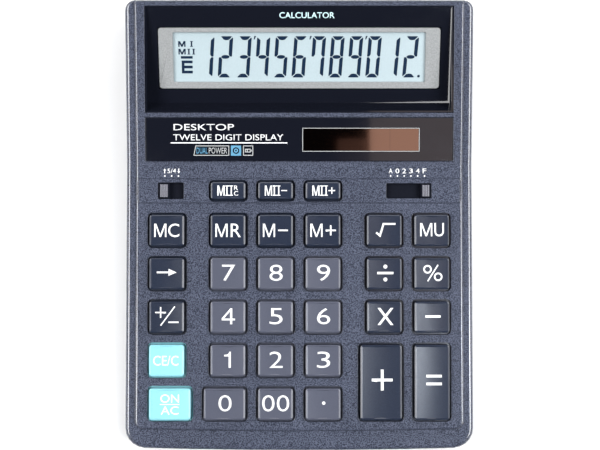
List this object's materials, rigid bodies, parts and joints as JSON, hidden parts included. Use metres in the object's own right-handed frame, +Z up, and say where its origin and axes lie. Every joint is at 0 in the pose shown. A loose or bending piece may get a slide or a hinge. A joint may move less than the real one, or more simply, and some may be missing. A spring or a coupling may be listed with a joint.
{
  "type": "desk calculator",
  "caption": "Desk calculator with sloping keypad deck, tilted sunken display, solar cell, sprung keys, slide switches and a battery door underneath.",
  "frame": {"origin": "on the resting plane under the middle of the case's bounding box", "axes": "+X to the user's right, +Y from the user towards the display end, +Z up"},
  "size_m": [0.158, 0.203, 0.0309],
  "materials": {
    "case_plastic": "fine spark-eroded texture, blue-grey ABS",
    "dark_key": "satin dark blue-grey",
    "grey_key": "satin mid grey",
    "blue_key": "satin light cyan",
    "dark_plastic": "near black, satin",
    "black_gloss": "polished black",
    "silver_paint": "fine matt silver",
    "lcd_glass": "reflective liquid crystal panel, pale blue-grey",
    "solar_glass": "amorphous silicon cell on glass, dark brown-black",
    "grey_rubber": "translucent grey silicone",
    "zebra_rubber": "layered conductive silicone",
    "black_rubber": "black non-slip rubber",
    "circuit_board": "green solder mask on glass epoxy",
    "epoxy": "black potting",
    "cell_steel": "nickel-plated steel",
    "contact_metal": "nickel-plated spring steel",
    "screw_steel": "black-zinc screw steel",
    "cable_plastic": "grey flat cable",
    "wire_sheath": "red sheath"
  },
  "bodies": {
    "case": {"bottom_case": "case_plastic", "button_cell": "cell_steel", "chip_blob": "epoxy", "contact_minus": "contact_metal", "contact_plus": "contact_metal", "display_board": "circuit_board", "display_fascia": "black_gloss", "foot_front_left": "black_rubber", "foot_front_right": "black_rubber", "foot_rear_left": "black_rubber", "foot_rear_right": "black_rubber", "keypad_mat": "grey_rubber", "lcd_bezel": "silver_paint", "lcd_glass": "lcd_glass", "lower_panel": "black_gloss", "main_board": "circuit_board", "ribbon_cable": "cable_plastic", "screw_front_left": "screw_steel", "screw_front_right": "screw_steel", "screw_rear_left": "screw_steel", "screw_rear_right": "screw_steel", "solar_cell": "solar_glass", "solar_lead": "wire_sheath", "top_case": "case_plastic", "zebra_strip": "zebra_rubber"},
    "key_memory2_recall": {"key_memory2_recall": "dark_key"},
    "key_memory2_minus": {"key_memory2_minus": "dark_key"},
    "key_memory2_plus": {"key_memory2_plus": "dark_key"},
    "key_memory_clear": {"key_memory_clear": "dark_key"},
    "key_memory_recall": {"key_memory_recall": "dark_key"},
    "key_memory_minus": {"key_memory_minus": "dark_key"},
    "key_memory_plus": {"key_memory_plus": "dark_key"},
    "key_root": {"key_root": "dark_key"},
    "key_markup": {"key_markup": "dark_key"},
    "key_shift": {"key_shift": "dark_key"},
    "key_7": {"key_7": "grey_key"},
    "key_8": {"key_8": "grey_key"},
    "key_9": {"key_9": "grey_key"},
    "key_divide": {"key_divide": "dark_key"},
    "key_percent": {"key_percent": "dark_key"},
    "key_sign": {"key_sign": "dark_key"},
    "key_4": {"key_4": "grey_key"},
    "key_5": {"key_5": "grey_key"},
    "key_6": {"key_6": "grey_key"},
    "key_multiply": {"key_multiply": "dark_key"},
    "key_minus": {"key_minus": "dark_key"},
    "key_clear_entry": {"key_clear_entry": "blue_key"},
    "key_1": {"key_1": "grey_key"},
    "key_2": {"key_2": "grey_key"},
    "key_3": {"key_3": "grey_key"},
    "key_on_clear": {"key_on_clear": "blue_key"},
    "key_0": {"key_0": "grey_key"},
    "key_00": {"key_00": "grey_key"},
    "key_point": {"key_point": "grey_key"},
    "key_plus": {"key_plus": "dark_key"},
    "key_equals": {"key_equals": "dark_key"},
    "rounding_knob": {"rounding_knob": "dark_plastic"},
    "decimal_knob": {"decimal_knob": "dark_plastic"},
    "battery_door": {"battery_door": "case_plastic"}
  },
  "joints": [
    {"name": "press_memory2_recall", "type": "slide", "parent": "case", "child": "key_memory2_recall", "axis": [0, 0.0698, -0.9976], "range_m": [0, 0.0015], "stiffness_N_per_m": 300, "springref_m": -0.001, "deforming": ["keypad_mat"]},
    {"name": "press_memory2_minus", "type": "slide", "parent": "case", "child": "key_memory2_minus", "axis": [0, 0.0698, -0.9976], "range_m": [0, 0.0015], "stiffness_N_per_m": 300, "springref_m": -0.001, "deforming": ["keypad_mat"]},
    {"name": "press_memory2_plus", "type": "slide", "parent": "case", "child": "key_memory2_plus", "axis": [0, 0.0698, -0.9976], "range_m": [0, 0.0015], "stiffness_N_per_m": 300, "springref_m": -0.001, "deforming": ["keypad_mat"]},
    {"name": "press_memory_clear", "type": "slide", "parent": "case", "child": "key_memory_clear", "axis": [0, 0.0698, -0.9976], "range_m": [0, 0.0015], "stiffness_N_per_m": 300, "springref_m": -0.001, "deforming": ["keypad_mat"]},
    {"name": "press_memory_recall", "type": "slide", "parent": "case", "child": "key_memory_recall", "axis": [0, 0.0698, -0.9976], "range_m": [0, 0.0015], "stiffness_N_per_m": 300, "springref_m": -0.001, "deforming": ["keypad_mat"]},
    {"name": "press_memory_minus", "type": "slide", "parent": "case", "child": "key_memory_minus", "axis": [0, 0.0698, -0.9976], "range_m": [0, 0.0015], "stiffness_N_per_m": 300, "springref_m": -0.001, "deforming": ["keypad_mat"]},
    {"name": "press_memory_plus", "type": "slide", "parent": "case", "child": "key_memory_plus", "axis": [0, 0.0698, -0.9976], "range_m": [0, 0.0015], "stiffness_N_per_m": 300, "springref_m": -0.001, "deforming": ["keypad_mat"]},
    {"name": "press_root", "type": "slide", "parent": "case", "child": "key_root", "axis": [0, 0.0698, -0.9976], "range_m": [0, 0.0015], "stiffness_N_per_m": 300, "springref_m": -0.001, "deforming": ["keypad_mat"]},
    {"name": "press_markup", "type": "slide", "parent": "case", "child": "key_markup", "axis": [0, 0.0698, -0.9976], "range_m": [0, 0.0015], "stiffness_N_per_m": 300, "springref_m": -0.001, "deforming": ["keypad_mat"]},
    {"name": "press_shift", "type": "slide", "parent": "case", "child": "key_shift", "axis": [0, 0.0698, -0.9976], "range_m": [0, 0.0015], "stiffness_N_per_m": 300, "springref_m": -0.001, "deforming": ["keypad_mat"]},
    {"name": "press_7", "type": "slide", "parent": "case", "child": "key_7", "axis": [0, 0.0698, -0.9976], "range_m": [0, 0.0015], "stiffness_N_per_m": 300, "springref_m": -0.001, "deforming": ["keypad_mat"]},
    {"name": "press_8", "type": "slide", "parent": "case", "child": "key_8", "axis": [0, 0.0698, -0.9976], "range_m": [0, 0.0015], "stiffness_N_per_m": 300, "springref_m": -0.001, "deforming": ["keypad_mat"]},
    {"name": "press_9", "type": "slide", "parent": "case", "child": "key_9", "axis": [0, 0.0698, -0.9976], "range_m": [0, 0.0015], "stiffness_N_per_m": 300, "springref_m": -0.001, "deforming": ["keypad_mat"]},
    {"name": "press_divide", "type": "slide", "parent": "case", "child": "key_divide", "axis": [0, 0.0698, -0.9976], "range_m": [0, 0.0015], "stiffness_N_per_m": 300, "springref_m": -0.001, "deforming": ["keypad_mat"]},
    {"name": "press_percent", "type": "slide", "parent": "case", "child": "key_percent", "axis": [0, 0.0698, -0.9976], "range_m": [0, 0.0015], "stiffness_N_per_m": 300, "springref_m": -0.001, "deforming": ["keypad_mat"]},
    {"name": "press_sign", "type": "slide", "parent": "case", "child": "key_sign", "axis": [0, 0.0698, -0.9976], "range_m": [0, 0.0015], "stiffness_N_per_m": 300, "springref_m": -0.001, "deforming": ["keypad_mat"]},
    {"name": "press_4", "type": "slide", "parent": "case", "child": "key_4", "axis": [0, 0.0698, -0.9976], "range_m": [0, 0.0015], "stiffness_N_per_m": 300, "springref_m": -0.001, "deforming": ["keypad_mat"]},
    {"name": "press_5", "type": "slide", "parent": "case", "child": "key_5", "axis": [0, 0.0698, -0.9976], "range_m": [0, 0.0015], "stiffness_N_per_m": 300, "springref_m": -0.001, "deforming": ["keypad_mat"]},
    {"name": "press_6", "type": "slide", "parent": "case", "child": "key_6", "axis": [0, 0.0698, -0.9976], "range_m": [0, 0.0015], "stiffness_N_per_m": 300, "springref_m": -0.001, "deforming": ["keypad_mat"]},
    {"name": "press_multiply", "type": "slide", "parent": "case", "child": "key_multiply", "axis": [0, 0.0698, -0.9976], "range_m": [0, 0.0015], "stiffness_N_per_m": 300, "springref_m": -0.001, "deforming": ["keypad_mat"]},
    {"name": "press_minus", "type": "slide", "parent": "case", "child": "key_minus", "axis": [0, 0.0698, -0.9976], "range_m": [0, 0.0015], "stiffness_N_per_m": 300, "springref_m": -0.001, "deforming": ["keypad_mat"]},
    {"name": "press_clear_entry", "type": "slide", "parent": "case", "child": "key_clear_entry", "axis": [0, 0.0698, -0.9976], "range_m": [0, 0.0015], "stiffness_N_per_m": 300, "springref_m": -0.001, "deforming": ["keypad_mat"]},
    {"name": "press_1", "type": "slide", "parent": "case", "child": "key_1", "axis": [0, 0.0698, -0.9976], "range_m": [0, 0.0015], "stiffness_N_per_m": 300, "springref_m": -0.001, "deforming": ["keypad_mat"]},
    {"name": "press_2", "type": "slide", "parent": "case", "child": "key_2", "axis": [0, 0.0698, -0.9976], "range_m": [0, 0.0015], "stiffness_N_per_m": 300, "springref_m": -0.001, "deforming": ["keypad_mat"]},
    {"name": "press_3", "type": "slide", "parent": "case", "child": "key_3", "axis": [0, 0.0698, -0.9976], "range_m": [0, 0.0015], "stiffness_N_per_m": 300, "springref_m": -0.001, "deforming": ["keypad_mat"]},
    {"name": "press_on_clear", "type": "slide", "parent": "case", "child": "key_on_clear", "axis": [0, 0.0698, -0.9976], "range_m": [0, 0.0015], "stiffness_N_per_m": 300, "springref_m": -0.001, "deforming": ["keypad_mat"]},
    {"name": "press_0", "type": "slide", "parent": "case", "child": "key_0", "axis": [0, 0.0698, -0.9976], "range_m": [0, 0.0015], "stiffness_N_per_m": 300, "springref_m": -0.001, "deforming": ["keypad_mat"]},
    {"name": "press_00", "type": "slide", "parent": "case", "child": "key_00", "axis": [0, 0.0698, -0.9976], "range_m": [0, 0.0015], "stiffness_N_per_m": 300, "springref_m": -0.001, "deforming": ["keypad_mat"]},
    {"name": "press_point", "type": "slide", "parent": "case", "child": "key_point", "axis": [0, 0.0698, -0.9976], "range_m": [0, 0.0015], "stiffness_N_per_m": 300, "springref_m": -0.001, "deforming": ["keypad_mat"]},
    {"name": "press_plus", "type": "slide", "parent": "case", "child": "key_plus", "axis": [0, 0.0698, -0.9976], "range_m": [0, 0.0015], "stiffness_N_per_m": 300, "springref_m": -0.001, "deforming": ["keypad_mat"]},
    {"name": "press_equals", "type": "slide", "parent": "case", "child": "key_equals", "axis": [0, 0.0698, -0.9976], "range_m": [0, 0.0015], "stiffness_N_per_m": 300, "springref_m": -0.001, "deforming": ["keypad_mat"]},
    {"name": "slide_rounding", "type": "slide", "parent": "case", "child": "rounding_knob", "axis": [1, 0, 0], "range_m": [0, 0.00614]},
    {"name": "slide_decimal", "type": "slide", "parent": "case", "child": "decimal_knob", "axis": [1, 0, 0], "range_m": [-0.01535, 0]},
    {"name": "open_battery_door", "type": "hinge", "parent": "case", "child": "battery_door", "pos_m": [-0.04, 0.0595, 0.0012], "axis": [-1, 0, 0], "range_deg": [0, 70]}
  ]
}
